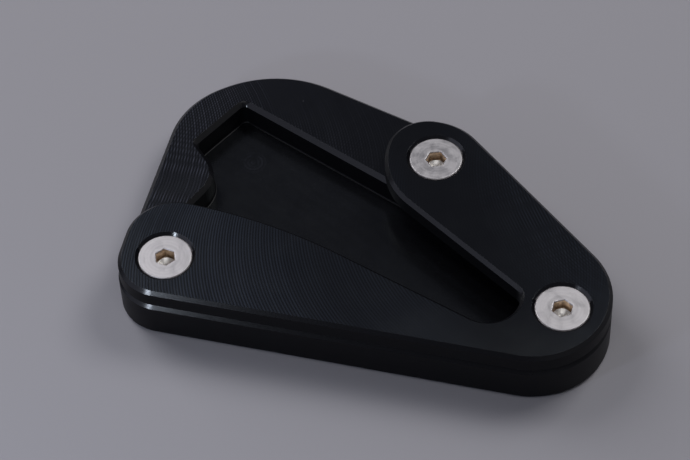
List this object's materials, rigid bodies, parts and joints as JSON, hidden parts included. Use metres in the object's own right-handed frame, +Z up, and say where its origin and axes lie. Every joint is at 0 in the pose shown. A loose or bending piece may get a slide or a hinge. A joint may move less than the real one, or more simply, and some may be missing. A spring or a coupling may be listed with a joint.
{
  "type": "side stand foot enlarger",
  "caption": "Flat clamp-on foot enlarger for a motorbike side stand: a pocketed base plate and a V-shaped clamp plate joined by countersunk screws.",
  "frame": {"origin": "on the ground under the middle of the part's box", "axes": "+X along the straight front side towards the clamp plate's nose, +Y towards the base plate's round back end, +Z up from the ground through both plates"},
  "size_m": [0.109, 0.0716, 0.015],
  "materials": {
    "black_anodise": "black anodised, satin, fine milling lines on the flat faces",
    "stainless": "turned stainless steel, lightly satin"
  },
  "bodies": {
    "root": {"base_plate": "black_anodise", "clamp_plate": "black_anodise", "countersunk_screws": "stainless"}
  },
  "joints": []
}
